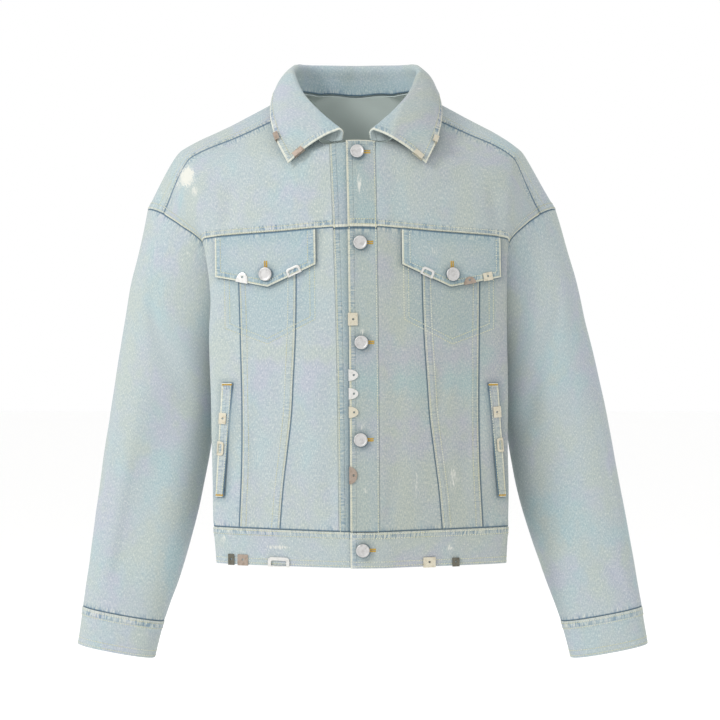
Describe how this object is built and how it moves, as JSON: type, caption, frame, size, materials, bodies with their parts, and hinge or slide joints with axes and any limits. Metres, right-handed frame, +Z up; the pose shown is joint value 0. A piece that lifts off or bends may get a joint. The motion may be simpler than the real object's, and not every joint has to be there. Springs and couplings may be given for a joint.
{
  "type": "denim jacket",
  "caption": "Boxy denim trucker jacket worn closed with no wearer in it: turned-down collar, yokes, pointed chest flaps, slanted welt pockets, shank buttons and plain metal edge clips.",
  "frame": {"origin": "in the middle of the neck at the height of the shoulders, where a wearer holds the jacket up", "axes": "+Z up along the jacket's length, -Y out of the closed front, +X towards the wearer's left"},
  "size_m": [0.7978, 0.2534, 0.8382],
  "materials": {
    "denim": "bleached cotton denim, one ply, matt",
    "denim_double": "bleached cotton denim, folded double, puckered along its stitches",
    "button_metal": "satin silver, slightly dulled",
    "clip_metal": "satin silver to pale gold"
  },
  "bodies": {
    "root": {"front_yoke_left": "denim", "front_yoke_right": "denim", "front_centre_left": "denim", "front_centre_right": "denim", "front_middle_left": "denim", "front_middle_right": "denim", "front_side_left": "denim", "front_side_right": "denim", "back_yoke": "denim", "back_panel": "denim", "sleeve_left": "denim", "sleeve_right": "denim", "pocket_left": "denim", "pocket_right": "denim", "placket_left": "denim_double", "placket_right": "denim_double", "waistband": "denim_double", "collar": "denim_double", "cuff_left": "denim_double", "cuff_right": "denim_double", "flap_left": "denim_double", "flap_right": "denim_double", "welt_left": "denim_double", "welt_right": "denim_double", "button_neck": "button_metal", "button_yoke": "button_metal", "button_chest": "button_metal", "button_waist": "button_metal", "button_band": "button_metal", "button_flap_left": "button_metal", "button_flap_right": "button_metal", "clip_flap_right_disc": "clip_metal", "clip_flap_right_arch": "clip_metal", "clip_flap_left_arch": "clip_metal", "clip_flap_left_disc": "clip_metal", "clip_flap_left_tab": "clip_metal", "clip_placket_tab": "clip_metal", "clip_placket_disc_upper": "clip_metal", "clip_placket_disc_middle": "clip_metal", "clip_placket_disc_lower": "clip_metal", "clip_placket_disc_long": "clip_metal", "clip_welt_right_tab": "clip_metal", "clip_welt_right_arch": "clip_metal", "clip_welt_left_tab": "clip_metal", "clip_welt_left_arch": "clip_metal", "clip_hem_right_narrow": "clip_metal", "clip_hem_right_tab": "clip_metal", "clip_hem_right_arch": "clip_metal", "clip_hem_left_tab": "clip_metal", "clip_hem_left_narrow": "clip_metal", "clip_collar_right_disc": "clip_metal", "clip_collar_right_arch": "clip_metal", "clip_collar_left_arch": "clip_metal", "clip_collar_left_tab": "clip_metal"}
  },
  "joints": []
}
